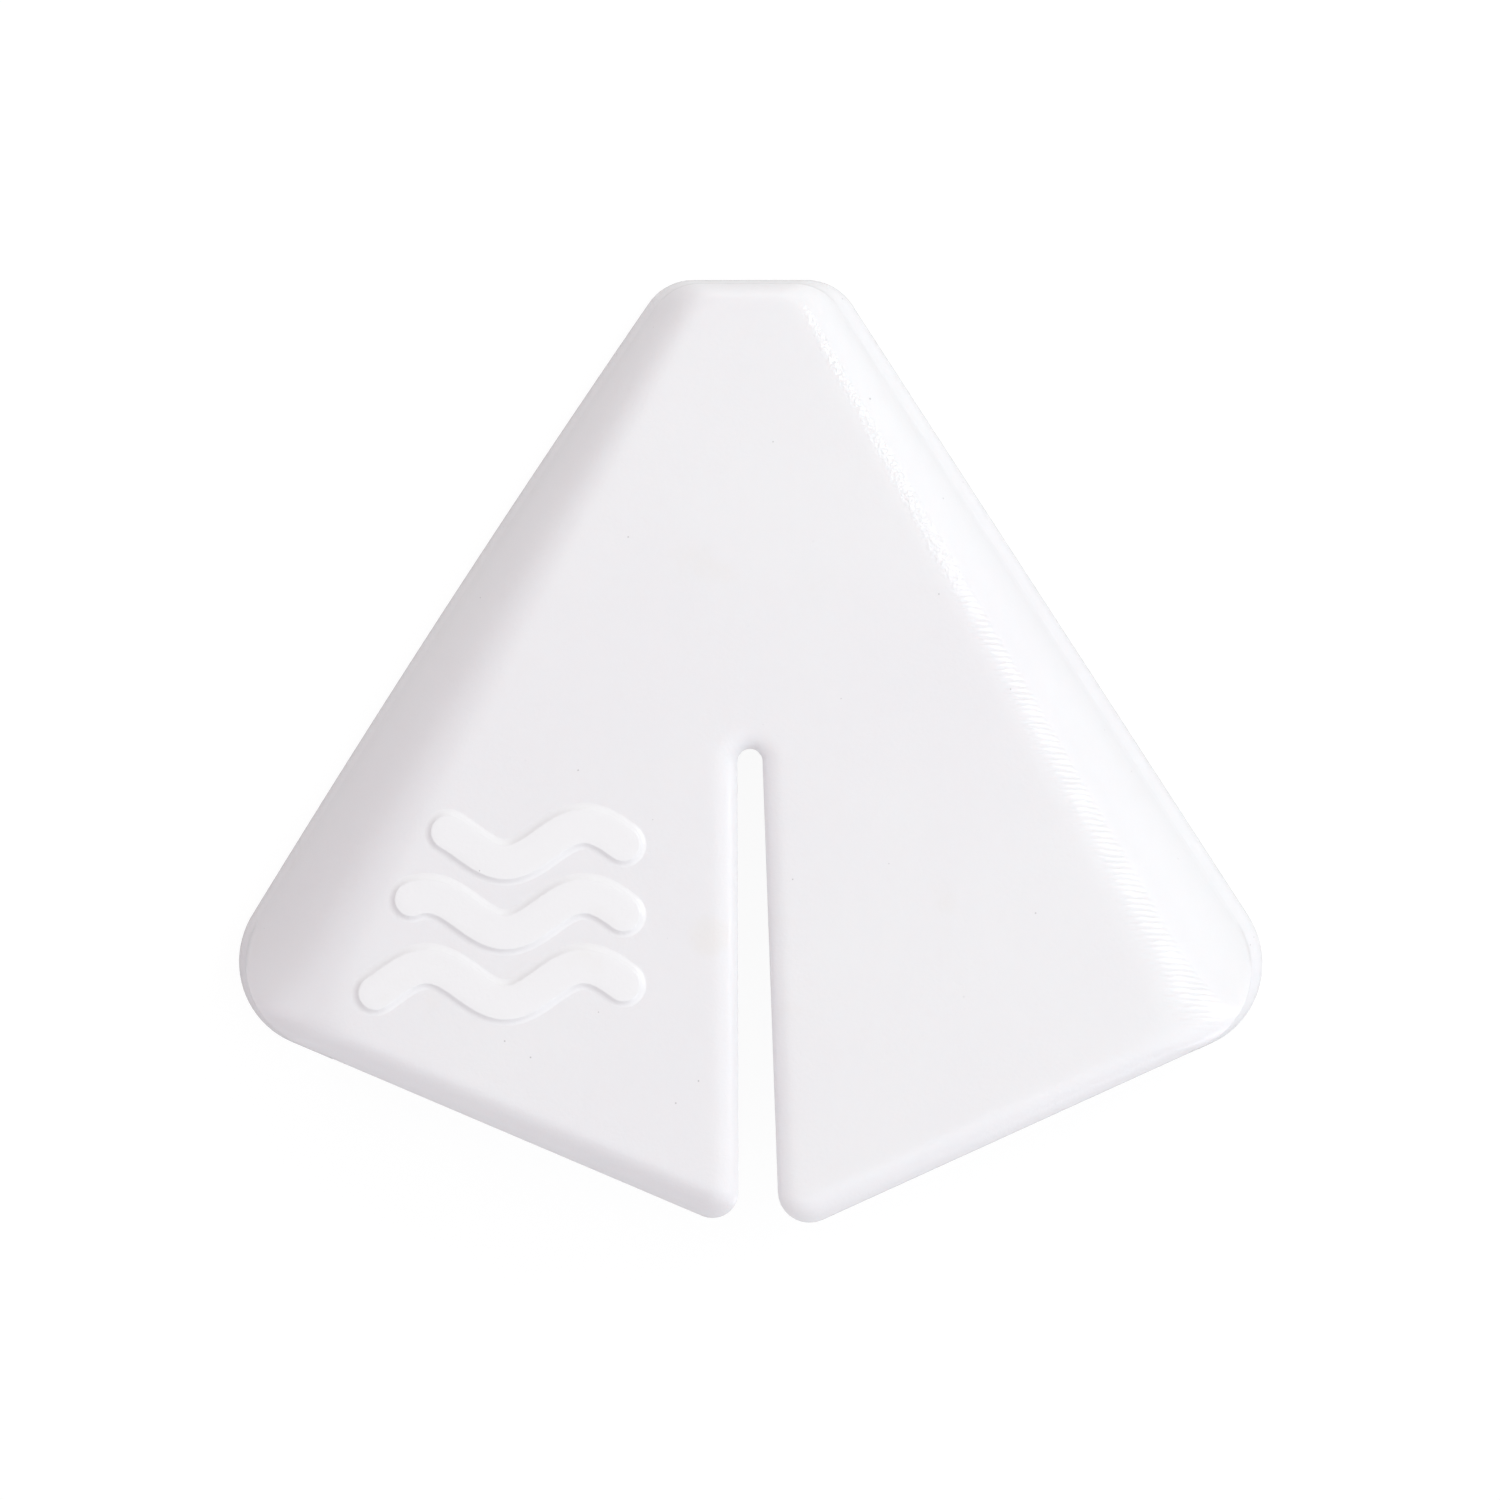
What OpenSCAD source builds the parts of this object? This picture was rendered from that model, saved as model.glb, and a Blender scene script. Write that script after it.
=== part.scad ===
// Soft push-on guard for a pointed board nose: a kite-shaped rubber cap, open underneath and at the tail,
// with a slot from the tail to the middle so that its two halves can swing about the web in front of it.
// It lies on its rim: Z = 0 is the rim plane, +Y points to the narrow tip, +X to the right.

/* [Plan] */
// Half width of the flat edge at the tip, between its sharp corners
tip_half_w = 7.15; // [6:0.05:8]
// How far the tip edge is in front of the middle of the object
tip_y = 39.05; // [38.8:0.05:39.3]
// Half width across the wings, between their sharp corners
wing_half_w = 45.9; // [45:0.1:47]
// How far the wings' sharp corners are behind the middle
wing_back = 20.7; // [20:0.1:21.5]
// How far the left half's tail corner is behind the middle
tail_back_left = 39.8; // [39:0.1:40.2]
// How far the right half's tail corner is behind the middle
tail_back_right = 40.45; // [40:0.05:41]
// Corner radius at the tip
tip_r = 4.5; // [4:0.1:5]
// Corner radius at the wings
wing_r = 7.2; // [6.6:0.1:7.6]
// Corner radius of the left half at the slot's mouth
tail_r_left = 2.15; // [2:0.05:2.6]
// Corner radius of the right half at the slot's mouth
tail_r_right = 2.6; // [2.2:0.05:2.8]

/* [Slot] */
// Width of the slot at its inner end
slot_w = 2.08; // [2:0.02:2.3]
// How far the slot's inner end is in front of the middle
slot_end_y = 0.1; // [-2:0.1:2]
// How much wider the slot is at its mouth, on its left side (negative leans in)
slot_lean_left = -0.1; // [-0.2:0.05:0]
// How much wider the slot is at its mouth, on its right side
slot_lean_right = 1.4; // [1.2:0.05:1.6]

/* [Height] */
// Height of the face above the rim at the tip edge
face_h_tip = 7.5; // [7:0.1:8]
// Height of the face above the rim at the rearmost tail corner
face_h_tail = 15; // [14:0.1:15.5]
// Height of the lip round the rim
lip_h = 3.3; // [3:0.1:3.6]
// How far the lip stands out from the left side's wall
lip_left = 0.65; // [0.5:0.05:0.9]
// How far the lip stands out from the right side's wall
lip_right = 1.05; // [0.8:0.05:1.1]
// How far the lip stands out from the front wall
lip_front = 0.35; // [0.2:0.05:0.5]

/* [Rounded edges] */
// Width of the rounded shoulder beside the face at the tip
shoulder_tip = 4.2; // [4:0.1:4.4]
// Width of the rounded shoulder beside the face at the wings
shoulder_wing = 10.8; // [10:0.1:11]
// Radius of the front edge of the face
roll_front = 1.5; // [1:0.1:1.8]
// Radius of the tail edge of the face
roll_tail = 2.5; // [2:0.1:2.6]
// Radius of the face's edge along the slot
roll_slot = 1.9; // [1.5:0.1:2]

/* [Walls] */
// Thickness of the roof
roof_t = 3; // [2.8:0.1:3.2]
// Thickness of the side walls at the rim
wall_t = 3; // [2.8:0.1:3.2]
// Depth of the solid bumper at the tip
bumper_t = 8; // [7:0.1:9]
// Where the left side's wall ends, left of the middle
wall_end_left = 34.6; // [34:0.1:35.5]
// Where the right side's wall ends, right of the middle
wall_end_right = 38; // [37:0.1:38.4]

/* [Mark] */
// Length of the mark's middle wave
wave_l = 17.5; // [15:0.5:18]
// How much longer each wave is than the one in front of it
wave_step = 3; // [0:0.5:3]
// Width of a wave's stroke
wave_w = 3; // [2.2:0.1:3.2]
// Height of a wave above its middle line
wave_a = 1.5; // [1:0.1:1.8]
// Distance from crest to crest along a wave
wave_pitch_x = 13; // [11:0.5:15]
// Distance between the waves
wave_gap = 5.8; // [5.6:0.1:6.2]
// How far the mark is raised above the face
mark_h = 0.4; // [0.3:0.1:1]

/* [Fixing] */
// Thickness of an adhesive pad
pad_t = 1; // [0.8:0.1:1.2]
// Thickness of a release liner
liner_t = 0.3; // [0.2:0.05:0.4]
// Clearance between a pad and its liner
liner_gap = 0.1; // [0.05:0.05:0.2]
// Length of the pull tab of a liner
tab_l = 5; // [4:0.5:5]

/* [Hidden] */

rubber = "WhiteSmoke";
web_w = 0.9 * slot_w;                 // the part of the web that stretches
slope = (face_h_tail - face_h_tip) / (tip_y + tail_back_right);
slope_deg = atan(slope);
foot_gap = 0.4;                       // upright strip between the lip and the shoulder
round_steps = 7;                      // rings in a rounded edge
far = 60;                             // reaches past the whole object

function face_z(y) = face_h_tip + slope * (tip_y - y);

// ---- rings: a closed outline, each edge moved inwards by its own amount, each corner rounded ----

function next(i, list) = (i + 1) % len(list);
function prev(i, list) = (i + len(list) - 1) % len(list);
function unit(v) = v / norm(v);
function left_of(v) = [-v.y, v.x];
function cross2(a, b) = a.x * b.y - a.y * b.x;
function smooth(t) = t * t * (3 - 2 * t);

// where the line through a0 and a1 meets the line through b0 and b1
function meet(a0, a1, b0, b1) =
    a0 + (a1 - a0) * cross2(b0 - a0, b1 - b0) / cross2(a1 - a0, b1 - b0);

// an edge, moved to its left by w.x at its start and w.y at its end
function inset_edge(p, q, w) =
    let(n = left_of(unit(q - p))) [p + n * w.x, q + n * w.y];

// the points of one rounded corner, each as [x, y, how far round the corner]
function corner(a, v, b, r, n) =
    let(u = unit(a - v),
        w = unit(b - v),
        half = acos(u * w) / 2,
        c = v + unit(u + w) * r / sin(half),
        from = v + u * r / tan(half) - c,
        turn = sign(cross2(v - a, b - v)) * (180 - 2 * half))
    [for (k = [0:n - 1])
        let(t = k / (n - 1),
            g = turn * t)
        [c.x + from.x * cos(g) - from.y * sin(g), c.y + from.x * sin(g) + from.y * cos(g), t]];

// A clockwise ring of convex corners, each [point, radius, number of points], with each edge moved inwards
// by [its inset at the start, at the end]
function ring(corners, insets) =
    let(e = [for (i = [0:len(corners) - 1])
                inset_edge(corners[i][0], corners[next(i, corners)][0], -insets[i])],
        v = [for (i = [0:len(corners) - 1])
                let(b = e[prev(i, corners)])
                meet(b[0], b[1], e[i][0], e[i][1])])
    [for (i = [0:len(corners) - 1])
        let(move = min(insets[prev(i, corners)].y, insets[i].x),
            r = max(corners[i][1] - move, 0.3))
        each corner(v[prev(i, corners)], v[i], v[next(i, corners)], r, corners[i][2])];

// a closed solid through a stack of clockwise rings, lowest first, that have the same number of points
module loft(rings) {
    n = len(rings[0]);
    m = len(rings);
    polyhedron(
        points = [for (r = rings) each r],
        faces = [
            [for (i = [n - 1:-1:0]) i],
            for (k = [0:m - 2])
                for (i = [0:n - 1])
                    let(j = (i + 1) % n,
                        a = k * n)
                    each [[a + i, a + j, a + n + j], [a + i, a + n + j, a + n + i]],
            [for (i = [0:n - 1]) (m - 1) * n + i]
        ]
    );
}

// ---- the outside, one half at a time ----

// what differs between the halves: [lip, tail corner's distance back, its radius, how the slot leans]
left_side = [lip_left, tail_back_left, tail_r_left, slot_lean_left];
right_side = [lip_right, tail_back_right, tail_r_right, slot_lean_right];

slot_centre_y = slot_end_y - slot_w / 2;   // centre of the slot's half-round end

function slot_end_r(f) = slot_w / 2 + f * roll_slot;

// The outline of a half that lies at positive X, with its edges moved in for a fraction f of their rounded
// edges' widths, and the lip left off by a fraction l. Gives [x, y, edge before, edge after, how far
// between them] for each point, clockwise from the web's cut at the tip to its cut at the slot's end.
// Edges: 0 front, 1 side, 2 tail, 3 slot.
function half_ring(side, f, l) =
    let(lip = l * side[0],
        tip = [tip_half_w, tip_y],
        wing = [wing_half_w, -wing_back],
        tail = [slot_w / 2 + side[3], -side[1]],
        front = tip_y - l * lip_front - f * roll_front,
        e1 = inset_edge(tip, wing, -[lip + f * (shoulder_tip - lip), lip + f * (shoulder_wing - lip)]),
        e2 = inset_edge(wing, tail, -[1, 1] * f * roll_tail),
        e3 = inset_edge(tail, [slot_w / 2, slot_centre_y], -[1, 1] * f * roll_slot),
        v1 = meet([0, front], [1, front], e1[0], e1[1]),
        v2 = meet(e1[0], e1[1], e2[0], e2[1]),
        v3 = meet(e2[0], e2[1], e3[0], e3[1]),
        r1 = tip_r - f * roll_front,
        r2 = wing_r - f * roll_tail,
        r3 = max(side[2] - f * roll_slot, 0.3),
        r4 = slot_end_r(f),
        cut = acos(web_w / 2 / r4))
    [
        [web_w / 2, front, 0, 0, 0],
        for (p = corner([0, front], v1, v2, r1, tip_steps)) [p.x, p.y, 0, 1, p.z],
        for (p = corner(v1, v2, v3, r2, wing_steps)) [p.x, p.y, 1, 2, p.z],
        for (p = corner(v2, v3, e3[1], r3, tail_steps)) [p.x, p.y, 2, 3, p.z],
        for (k = [0:slot_steps])
            let(g = cut * k / slot_steps)
            [r4 * cos(g), slot_centre_y + r4 * sin(g), 3, 3, 0]
    ];

// the same for the web, clockwise from its left end at the tip
function web_ring(f, l) =
    let(front = tip_y - l * lip_front - f * roll_front,
        r = slot_end_r(f),
        cut = acos(web_w / 2 / r))
    [
        [-web_w / 2, front, 0, 0, 0],
        [web_w / 2, front, 0, 0, 0],
        for (k = [0:2 * slot_steps])
            let(g = cut + (180 - 2 * cut) * k / (2 * slot_steps))
            [r * cos(g), slot_centre_y + r * sin(g), 3, 3, 0]
    ];

tip_steps = 7;                        // points round each kind of corner
wing_steps = 10;
tail_steps = 6;
slot_steps = 5;

// how far the face's rounded edge reaches down, on each edge
function drop_on_edge(edge, y) =
    edge == 0 ? roll_front
    : edge == 1 ? face_z(y) - lip_h - foot_gap
    : edge == 2 ? roll_tail
    : roll_slot;

function drop_at(p) =
    let(a = drop_on_edge(p[2], p.y),
        b = drop_on_edge(p[3], p.y))
    a + (b - a) * smooth(p[4]);

function at_height(points, z) = [for (p = points) [p.x, p.y, z]];
function rounded(points, angle) =
    [for (p = points) [p.x, p.y, face_z(p.y) - drop_at(p) * (1 - sin(angle))]];
function round_angle(k) = 90 * k / round_steps;
function round_share(k) = 1 - cos(round_angle(k));

module outer_half(side) {
    loft([
        at_height(half_ring(side, 0, 0), 0),
        at_height(half_ring(side, 0, 0), lip_h - lip_left / 2),
        at_height(half_ring(side, 0, 1), lip_h),
        for (k = [0:round_steps]) rounded(half_ring(side, round_share(k), 1), round_angle(k))
    ]);
}

module outer_web() {
    loft([
        at_height(web_ring(0, 0), 0),
        at_height(web_ring(0, 0), lip_h - lip_left / 2),
        at_height(web_ring(0, 1), lip_h),
        for (k = [0:round_steps]) rounded(web_ring(round_share(k), 1), round_angle(k))
    ]);
}

// ---- the pocket for the board's nose ----

// corners clockwise from the left end of the tip edge
pocket_outline = [
    [[-tip_half_w, tip_y], tip_r, 6],
    [[tip_half_w, tip_y], tip_r, 6],
    [[wing_half_w, -wing_back], wing_r, 9],
    [[0, -tail_back_left], 1, 3],
    [[-wing_half_w, -wing_back], wing_r, 9]
];

// inset of each edge at a fraction f of the pocket's own rounded edge: front, right, two tails, left
function pocket_insets(f) =
    let(at_tip = wall_t + f * (shoulder_tip - 1),
        at_wing = wall_t + f * (shoulder_wing - 2))
    [
        [bumper_t, bumper_t],
        [at_tip, at_wing],
        [wall_t, wall_t],
        [wall_t, wall_t],
        [at_wing, at_tip]
    ];

function pocket_ring(angle) =
    [for (p = ring(pocket_outline, pocket_insets(1 - cos(angle))))
        let(top = face_z(p.y) - roof_t)
        [p.x, p.y, top - (top - lip_h) * (1 - sin(angle))]];

module pocket() {
    loft([
        at_height(ring(pocket_outline, pocket_insets(0)), -1),
        for (k = [0:round_steps]) pocket_ring(round_angle(k))
    ]);
}

// the way out at the tail, under the roof and between the ends of the side walls
module tail_opening() {
    front = -wing_back;
    translate([-wall_end_left, 0, 0])
        rotate([90, 0, 90])
            linear_extrude(wall_end_left + wall_end_right)
                polygon([
                    [-far, -1],
                    [front, -1],
                    [front, face_z(front) - roof_t],
                    [-far, face_z(-far) - roof_t]
                ]);
}

module hollow() {
    union() {
        pocket();
        tail_opening();
    }
}

// ---- one moulding in three nodes: the two halves and the web between them ----

module left_half() {
    color(rubber)
        difference() {
            mirror([1, 0, 0])
                outer_half(left_side);
            hollow();
        }
}

module right_half() {
    color(rubber)
        difference() {
            outer_half(right_side);
            hollow();
        }
}

module flex_web() {
    color(rubber)
        difference() {
            outer_web();
            pocket();
        }
}

// ---- things that lie on the face or on the roof's underside ----

// puts its children on the plane that is `down` below the face, at the object's middle
module on_face(down) {
    translate([0, 0, face_z(0) - down])
        rotate([-slope_deg, 0, 0])
            children();
}

mark_right = -10.5;                   // where the waves end, on the right
mark_y = -13.6;                       // the middle wave
wave_steps = 20;
end_steps = 8;                        // points round each end of a stroke

// the middle line of a stroke, at a distance d from its right end
function wave_point(d) = [-d, wave_a * sin(360 * d / wave_pitch_x)];

// unit direction of that line, going away from the right end
function wave_along(d) =
    unit([-1, wave_a * cos(360 * d / wave_pitch_x) * 2 * PI / wave_pitch_x]);

// half a turn round an end of the stroke, whose middle line runs out along `along`
function wave_end(d, along) =
    let(out = along * wave_w / 2,
        across = left_of(out))
    [for (k = [0:end_steps])
        let(g = -90 + 180 * k / end_steps)
        wave_point(d) + out * cos(g) + across * sin(g)];

function wave_edge(d, side) = wave_point(d) + left_of(wave_along(d)) * side * wave_w / 2;

module wave(length) {
    polygon(concat(
        [for (k = [1:wave_steps - 1]) wave_edge(length * k / wave_steps, -1)],
        wave_end(length, wave_along(length)),
        [for (k = [wave_steps - 1:-1:1]) wave_edge(length * k / wave_steps, 1)],
        wave_end(0, -wave_along(0))
    ));
}

module raised_mark() {
    color("White")
        on_face(0)
            linear_extrude(mark_h)
                for (k = [-1:1])
                    translate([mark_right, mark_y + k * wave_gap])
                        wave(wave_l - k * wave_step);
}

// outline of a pad on the right half; the left one mirrors it
pad_side_inset = 12;
pad_tail_inset = 9;
pad_slot_inset = 3;
pad_front_w = 3;

pad_corners =
    let(side = inset_edge([wing_half_w, -wing_back], [tip_half_w, tip_y], [1, 1] * pad_side_inset),
        tail = inset_edge([slot_w / 2, -tail_back_left], [wing_half_w, -wing_back],
                          [1, 1] * pad_tail_inset),
        inner = slot_w / 2 + slot_lean_right + pad_slot_inset,
        narrow = inner + pad_front_w)
    [
        meet(side[0], side[1], [narrow, 0], [narrow, 1]),
        meet(side[0], side[1], [inner, 0], [inner, 1]) - [0, pad_front_w],
        meet(tail[0], tail[1], [inner, 0], [inner, 1]),
        meet(tail[0], tail[1], side[0], side[1])
    ];
pad_ring = ring([for (p = pad_corners) [p, 1.2, 5]], [for (p = pad_corners) [0, 0]]);

module pad_shape() {
    polygon([for (p = pad_ring) [p.x, p.y]]);
}

module pad() {
    on_face(roof_t)
        translate([0, 0, -pad_t])
            linear_extrude(pad_t)
                pad_shape();
}

// the liner covers the pad, with a tab at the tail end to peel it by
module liner() {
    tab_w = 8;
    tab_r = 2;
    at = pad_corners[2];
    on_face(roof_t)
        translate([0, 0, -pad_t - liner_gap - liner_t])
            linear_extrude(liner_t) {
                pad_shape();
                translate([at.x + tab_r, at.y - tab_l + tab_r])
                    square([tab_w - 2 * tab_r, tab_l + tab_w / 2]);
                translate([at.x, at.y - tab_l + 2 * tab_r])
                    square([tab_w, tab_l]);
                for (x = [tab_r, tab_w - tab_r])
                    translate([at.x + x, at.y - tab_l + 2 * tab_r])
                        circle(r = tab_r, $fn = 24);
            }
}

module right_adhesive_pad() {
    color("Gainsboro") pad();
}

module left_adhesive_pad() {
    color("Gainsboro") mirror([1, 0, 0]) pad();
}

module right_release_liner() {
    color("LightBlue") liner();
}

module left_release_liner() {
    color("LightBlue") mirror([1, 0, 0]) liner();
}

left_half();
right_half();
flex_web();
raised_mark();
left_adhesive_pad();
right_adhesive_pad();
left_release_liner();
right_release_liner();
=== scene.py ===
"""Looks of the nose guard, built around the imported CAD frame.

The moulding is one continuous skin over the CAD nodes left_half, right_half and flex_web. It is a stack of
closed rings: each ring follows the plan outline, with every edge of the outline moved inwards by its own
amount, and the rings climb from the roof's underside, round the rim and over the shoulder to the face.
Lengths in this script are millimetres until a mesh is made.
"""

import math

import bpy
import numpy as np
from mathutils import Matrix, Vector
from mathutils.geometry import delaunay_2d_cdt


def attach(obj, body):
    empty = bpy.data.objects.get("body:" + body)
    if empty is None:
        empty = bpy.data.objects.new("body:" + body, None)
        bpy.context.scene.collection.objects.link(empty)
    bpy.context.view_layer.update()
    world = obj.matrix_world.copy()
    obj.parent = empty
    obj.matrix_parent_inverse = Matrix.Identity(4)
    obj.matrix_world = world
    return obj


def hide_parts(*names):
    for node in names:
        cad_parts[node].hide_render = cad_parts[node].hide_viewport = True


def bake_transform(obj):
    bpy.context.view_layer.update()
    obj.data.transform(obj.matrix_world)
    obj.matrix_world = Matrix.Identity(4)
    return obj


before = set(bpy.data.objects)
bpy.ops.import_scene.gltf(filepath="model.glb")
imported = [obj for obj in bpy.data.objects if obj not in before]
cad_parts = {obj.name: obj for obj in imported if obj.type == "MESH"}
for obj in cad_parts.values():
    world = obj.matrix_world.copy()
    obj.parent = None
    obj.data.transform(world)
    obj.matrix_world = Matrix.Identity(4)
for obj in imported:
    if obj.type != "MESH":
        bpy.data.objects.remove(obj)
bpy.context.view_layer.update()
MM = 0.001

# ---- the moulding's dimensions, as in the CAD ----

TIP_HALF_W = 7.15          # half width of the edge at the tip, between its corners before they are rounded
TIP_Y = 39.05
WING_HALF_W = 45.9         # to a wing's corner before it is rounded
WING_Y = -20.7
TIP_R = 4.5
WING_R = 7.2
SLOT_W = 2.08
SLOT_END_Y = 0.1
SLOT_CENTRE_Y = SLOT_END_Y - SLOT_W / 2
WEB_HALF_W = 0.45 * SLOT_W
FACE_H_TIP = 7.5
FACE_H_TAIL = 15.0
TAIL_Y = -40.45
SLOPE = (FACE_H_TAIL - FACE_H_TIP) / (TIP_Y - TAIL_Y)
TIP_DROOP = 0.9            # the face bends down a little towards the tip
TIP_DROOP_Y = 27.0         # where that bend starts
LIP_H = 3.3
LIP_FRONT = 0.35           # how far the lip stands out in front
LIP_ROUND = 2.6            # height over which the lip leans in to the parting line
LIP_LEAN = math.radians(30)
FOOT_GAP = 0.06            # the parting line, between the lip and the shoulder
FOOT_ANGLE = math.radians(36)    # how far along its curve the shoulder starts
SHOULDER_TIP = 4.2         # how far in from the side the rounded shoulder reaches, at the tip and at a wing
SHOULDER_WING = 11.3
SQUARENESS = 2.3           # the shoulder is a superellipse with this exponent
ROLL_FRONT = 1.5           # the front edge's rounding
ROOF_T = 3.0
WALL_T = 3.0
BUMPER_T = 8.0
EDGE_R = 0.3               # rounding of the lowest edges
MIN_R = 0.3                # no corner of the outline is sharper than this


class Side:
    """What differs between the halves. The half is described at positive X."""

    def __init__(self, lip, tail_y, tail_r, lean, wall_end, bulge, roll_slot, slot_h, roll_tail,
                 tail_h):
        self.lip = lip              # how far the lip stands out from the side wall
        self.tail_y = tail_y        # the tail corner at the slot's mouth
        self.tail_r = tail_r
        self.lean = lean            # how much wider the slot is at its mouth
        self.wall_end = wall_end    # where the side wall stops along the tail
        self.bulge = bulge          # how far the side edge bows outwards
        self.roll_slot = roll_slot  # how far in from the slot its rounded edge reaches
        self.slot_h = slot_h        # how far down it reaches
        self.roll_tail = roll_tail  # the same for the tail's rounded edge
        self.tail_h = tail_h


LEFT = Side(lip=0.65, tail_y=-39.8, tail_r=2.15, lean=-0.1, wall_end=34.6, bulge=0.4,
            roll_slot=2.3, slot_h=0.8, roll_tail=3.2, tail_h=2.5)
RIGHT = Side(lip=1.05, tail_y=TAIL_Y, tail_r=2.6, lean=1.4, wall_end=38.0, bulge=0.0,
             roll_slot=1.9, slot_h=0.65, roll_tail=2.6, tail_h=1.6)

# how far the wall stands proud of the roof's tail edge, before and after the wall's end
PROUD_WALL = 0.2
PROUD_ROOF = 0.04

# points along each stretch of a half's outline
N_FRONT, N_TIP, N_SIDE, N_WING, N_WALL, N_TAIL, N_TAIL_R, N_SLOT, N_SLOT_END, N_WEB = (
    5, 10, 40, 22, 5, 24, 10, 26, 6, 8)


# ---- plan geometry ----

def smooth(t):
    return t * t * (3 - 2 * t)


def unit(v):
    return v / np.linalg.norm(v)


def moved_in(p, q, at_p, at_q):
    """The line p-q moved to its right by at_p at p and at_q at q."""
    d = unit(q - p)
    right = np.array([d[1], -d[0]])
    return p + right * at_p, q + right * at_q


def meet(a, b):
    """Where line a meets line b, each a pair of points."""
    da, db = a[1] - a[0], b[1] - b[0]
    k = ((b[0] - a[0])[0] * db[1] - (b[0] - a[0])[1] * db[0]) / (da[0] * db[1] - da[1] * db[0])
    return a[0] + da * k


def corner(a, v, b, r, n):
    """n points round the corner at v between the lines to a and b."""
    u, w = unit(a - v), unit(b - v)
    half = math.acos(np.clip(u @ w, -1, 1)) / 2
    centre = v + unit(u + w) * r / math.sin(half)
    start = v + u * r / math.tan(half) - centre
    turn = math.pi - 2 * half
    if (v - a)[0] * (b - v)[1] - (v - a)[1] * (b - v)[0] < 0:
        turn = -turn
    g = np.linspace(0, turn, n)
    return centre + np.stack([start[0] * np.cos(g) - start[1] * np.sin(g),
                              start[0] * np.sin(g) + start[1] * np.cos(g)], 1)


def between(a, b, n):
    """n points evenly between a and b, leaving both out."""
    t = np.arange(1, n + 1)[:, None] / (n + 1)
    return a + (b - a) * t


WALL_END_STEP = 0.04       # between the last point of the wall and the first of the open tail


def half_loop(side, front, tip, wing, wall, tail, slot, r_tip, r_wing, r_tail):
    """A half's outline at positive X, clockwise from the web's cut at the tip to the one at the slot.
    front, tip, wing, wall, tail and slot are how far in each edge is: the front edge, the side edge at
    both its ends, the tail edge before and after the wall's end, and the slot's edge."""
    p_tip, p_wing = np.array([TIP_HALF_W, TIP_Y]), np.array([WING_HALF_W, WING_Y])
    p_tail = np.array([SLOT_W / 2 + side.lean, side.tail_y])
    p_slot = np.array([SLOT_W / 2, SLOT_CENTRE_Y])
    y = TIP_Y - front
    e_front = (np.array([0.0, y]), np.array([1.0, y]))
    e_side = moved_in(p_tip, p_wing, tip, wing)
    e_wall = moved_in(p_wing, p_tail, wall, wall)
    e_tail = moved_in(p_wing, p_tail, tail, tail)
    e_slot = moved_in(p_tail, p_slot, slot, slot)
    v_tip, v_wing, v_tail = meet(e_front, e_side), meet(e_side, e_wall), meet(e_tail, e_slot)
    c_tip = corner(e_front[0], v_tip, v_wing, r_tip, N_TIP)
    c_wing = corner(v_tip, v_wing, v_wing + e_wall[1] - e_wall[0], r_wing, N_WING)
    c_tail = corner(v_tail + e_tail[0] - e_tail[1], v_tail, e_slot[1], r_tail, N_TAIL_R)
    r_slot = SLOT_W / 2 + slot
    g = np.linspace(0, math.acos(WEB_HALF_W / r_slot), N_SLOT_END)
    c_slot = np.stack([r_slot * np.cos(g), SLOT_CENTRE_Y + r_slot * np.sin(g)], 1)

    end_x = min(side.wall_end, c_wing[-1, 0] - 1.0)
    wall_end = meet(e_wall, (np.array([end_x, 0.0]), np.array([end_x, 1.0])))
    tail_x = end_x - WALL_END_STEP
    tail_start = meet(e_tail, (np.array([tail_x, 0.0]), np.array([tail_x, 1.0])))

    s = np.arange(1, N_SIDE + 1) / (N_SIDE + 1)
    out = -(moved_in(p_tip, p_wing, 1, 1)[0] - p_tip)
    bowed = between(c_tip[-1], c_wing[0], N_SIDE) + np.outer(4 * s * (1 - s) * side.bulge, out)
    cut = np.array([WEB_HALF_W, y])
    return np.concatenate([
        [cut], between(cut, c_tip[0], N_FRONT), c_tip, bowed, c_wing,
        between(c_wing[-1], wall_end, N_WALL), [wall_end], [tail_start],
        between(tail_start, c_tail[0], N_TAIL), c_tail, between(c_tail[-1], c_slot[0], N_SLOT), c_slot])


def web_front(front):
    """The web's points along the tip edge, from left to right, without its two cuts."""
    x = np.linspace(-WEB_HALF_W, WEB_HALF_W, N_WEB + 1)[1:-1]
    return np.stack([x, np.full_like(x, TIP_Y - front)], 1)


def web_back(slot_left, slot_right):
    """The web's points round the slot's end, from right to left, without its two cuts."""
    x = -np.linspace(-WEB_HALF_W, WEB_HALF_W, N_WEB + 1)[1:-1]
    t = smooth((x + WEB_HALF_W) / (2 * WEB_HALF_W))
    r = SLOT_W / 2 + slot_left + (slot_right - slot_left) * t
    return np.stack([x, SLOT_CENTRE_Y + np.sqrt(r * r - x * x)], 1)


def whole_loop(front, left, right):
    """The whole outline, clockwise from the web's right cut at the tip. left and right give the other
    insets of their halves, in half_loop's order."""
    a = half_loop(RIGHT, front, *right)
    b = half_loop(LEFT, front, *left)[::-1] * [-1, 1]
    return np.concatenate([a, web_back(left[4], right[4]), b, web_front(front)])


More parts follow.
